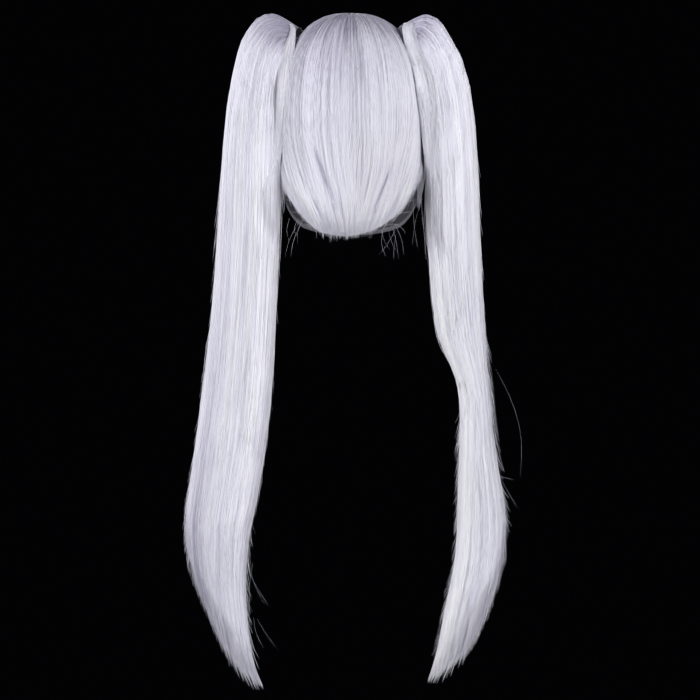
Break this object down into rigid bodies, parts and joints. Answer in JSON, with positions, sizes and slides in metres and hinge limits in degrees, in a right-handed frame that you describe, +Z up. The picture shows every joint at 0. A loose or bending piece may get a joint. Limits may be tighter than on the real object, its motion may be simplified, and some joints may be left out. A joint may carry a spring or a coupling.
{
  "type": "pigtail wig",
  "caption": "Pigtail wig: a hollow cap with an elastic edge, combed crown hair, a straight fringe, side locks and long straight tails tied high at the sides.",
  "frame": {"origin": "inside top of the cap, where the crown of a head meets it", "axes": "+Z up along the head, +Y towards the back of the head, +X towards the wearer's left"},
  "size_m": [0.3621, 0.2077, 0.773],
  "materials": {
    "hair": "silky straight synthetic fibre",
    "net": "thin open-weave stretch net",
    "elastic_band": "soft woven elastic",
    "tie": "matt elastic"
  },
  "bodies": {
    "root": {"cap": "net", "cap_band": "elastic_band", "crown_hair": "hair", "fringe": "hair", "side_lock_left": "hair", "side_lock_right": "hair", "tie_left": "tie", "tie_right": "tie", "pigtail_left": "hair", "pigtail_right": "hair"}
  },
  "joints": []
}
